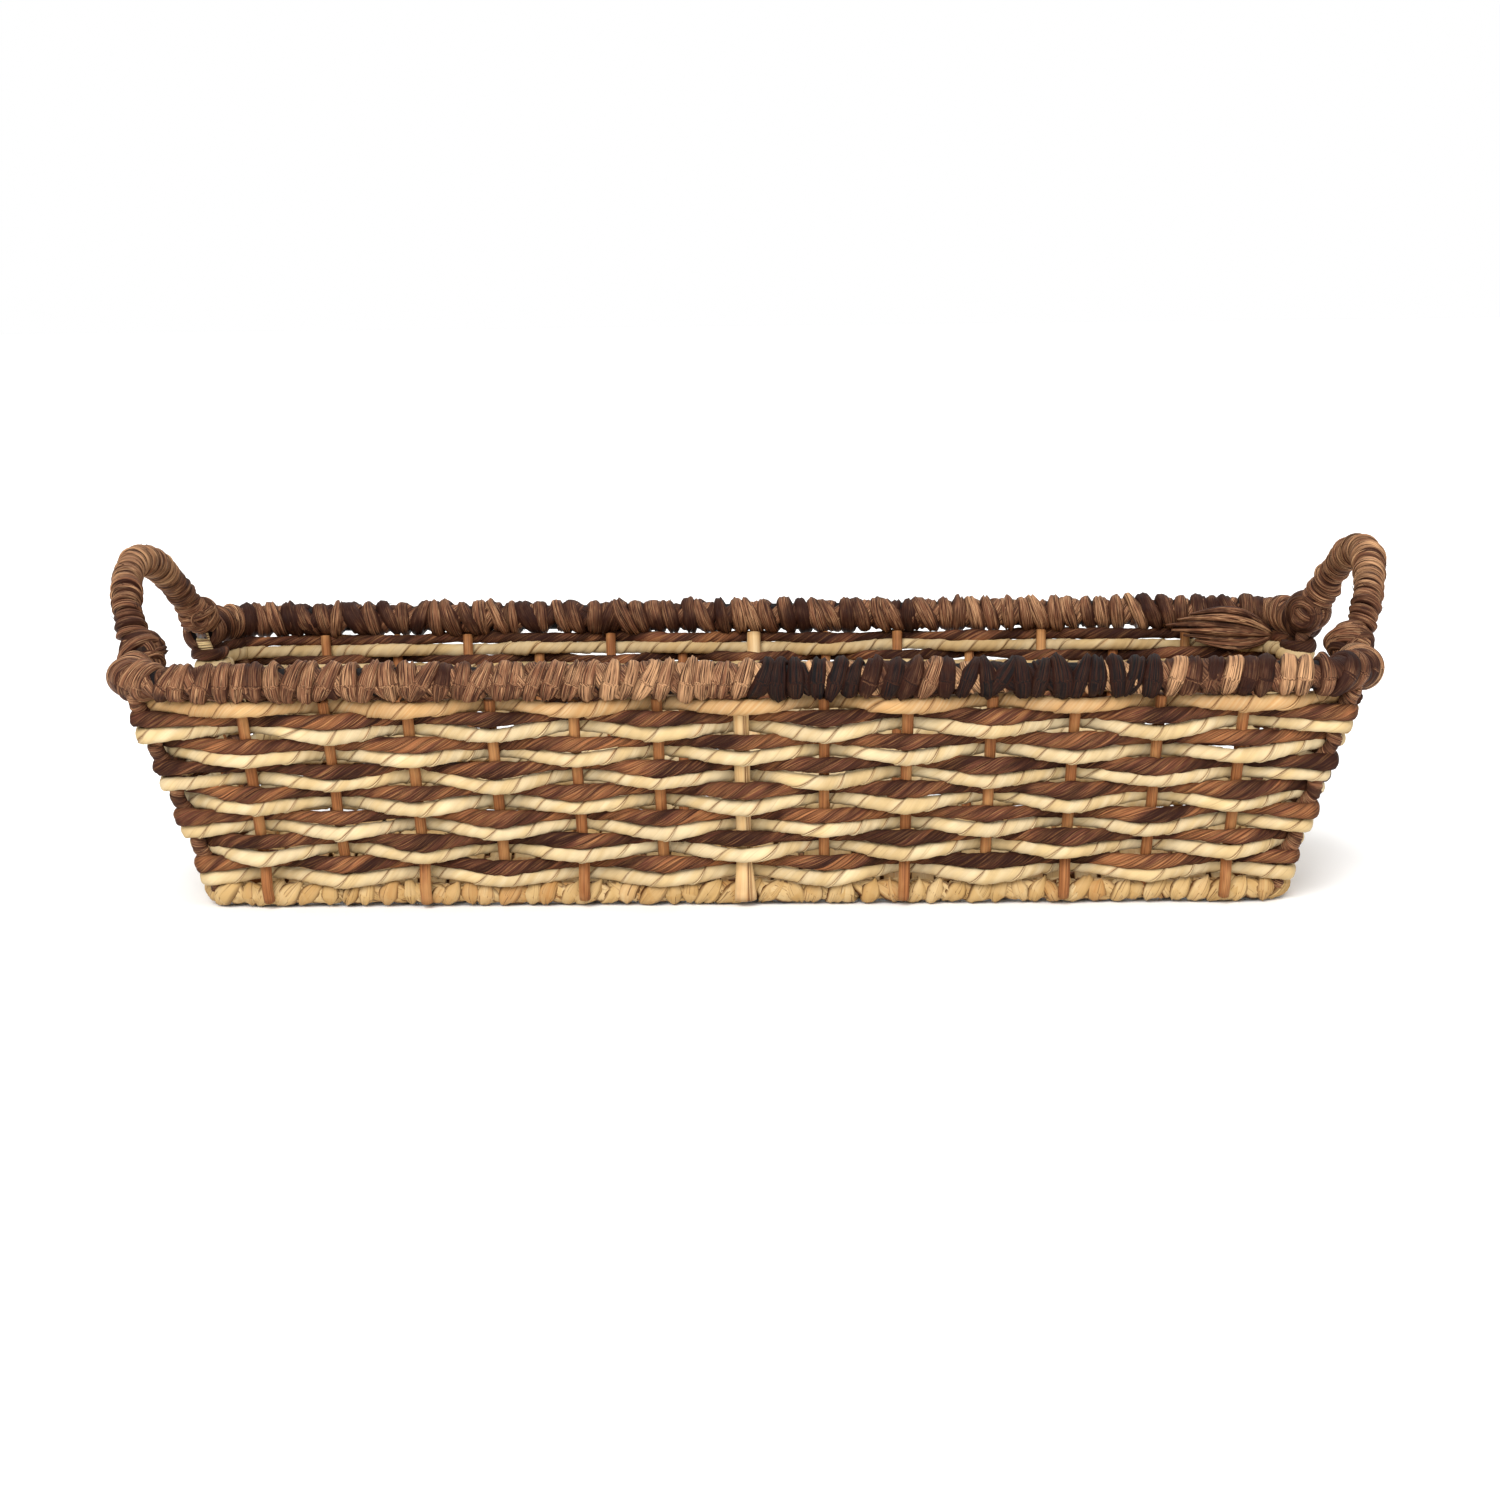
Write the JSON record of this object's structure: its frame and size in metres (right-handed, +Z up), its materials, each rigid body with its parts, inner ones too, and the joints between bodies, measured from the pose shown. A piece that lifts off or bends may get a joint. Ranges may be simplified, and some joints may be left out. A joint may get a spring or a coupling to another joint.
{
  "type": "bread basket",
  "caption": "Long, low woven bread basket with sloping walls, a wrapped rim and two fixed upright end handles.",
  "frame": {"origin": "on the table under the middle of the base border", "axes": "+X along the length towards the right handle, -Y towards the front, +Z up"},
  "size_m": [0.4794, 0.203, 0.126],
  "materials": {
    "dark_leaf": "satin",
    "light_leaf": "satin",
    "rim_leaf": "satin",
    "rattan": "satin",
    "frame_wire": "matte"
  },
  "bodies": {
    "root": {"base_ring_wire": "frame_wire", "rim_wire_front": "frame_wire", "rim_wire_rear": "frame_wire", "handle_bow_left": "frame_wire", "handle_bow_right": "frame_wire", "centre_post_wires": "frame_wire", "corner_post_wires": "frame_wire", "end_rail_wire_left": "frame_wire", "end_rail_wire_right": "frame_wire", "base_sticks": "rattan", "stakes_front": "rattan", "stakes_rear": "rattan", "stakes_left": "rattan", "stakes_right": "rattan", "base_border_wrap": "light_leaf", "base_strands_over": "light_leaf", "base_strands_under": "light_leaf", "centre_post_wraps": "light_leaf", "corner_post_wraps": "rim_leaf", "handle_leg_wraps": "rim_leaf", "end_rail_wrap_left": "rim_leaf", "end_rail_wrap_right": "rim_leaf", "rim_wrap_front": "rim_leaf", "rim_wrap_rear": "rim_leaf", "handle_wrap_left": "rim_leaf", "handle_wrap_right": "rim_leaf", "foot_lashing_front_left": "rim_leaf", "foot_lashing_front_right": "rim_leaf", "foot_lashing_rear_left": "rim_leaf", "foot_lashing_rear_right": "rim_leaf", "leaf_tuck": "rim_leaf", "strand_01_front": "light_leaf", "strand_02_front": "dark_leaf", "strand_03_front": "light_leaf", "strand_04_front": "dark_leaf", "strand_05_front": "light_leaf", "strand_06": "dark_leaf", "strand_07": "light_leaf", "strand_08": "dark_leaf", "strand_09": "light_leaf", "strand_10": "dark_leaf", "strand_11": "light_leaf", "strand_12": "dark_leaf", "strand_13": "light_leaf", "strand_14": "dark_leaf", "strand_15": "light_leaf", "strand_01_rear": "dark_leaf", "strand_02_rear": "light_leaf", "strand_03_rear": "dark_leaf", "strand_04_rear": "light_leaf", "strand_05_rear": "dark_leaf", "strand_06_rear": "light_leaf"}
  },
  "joints": []
}
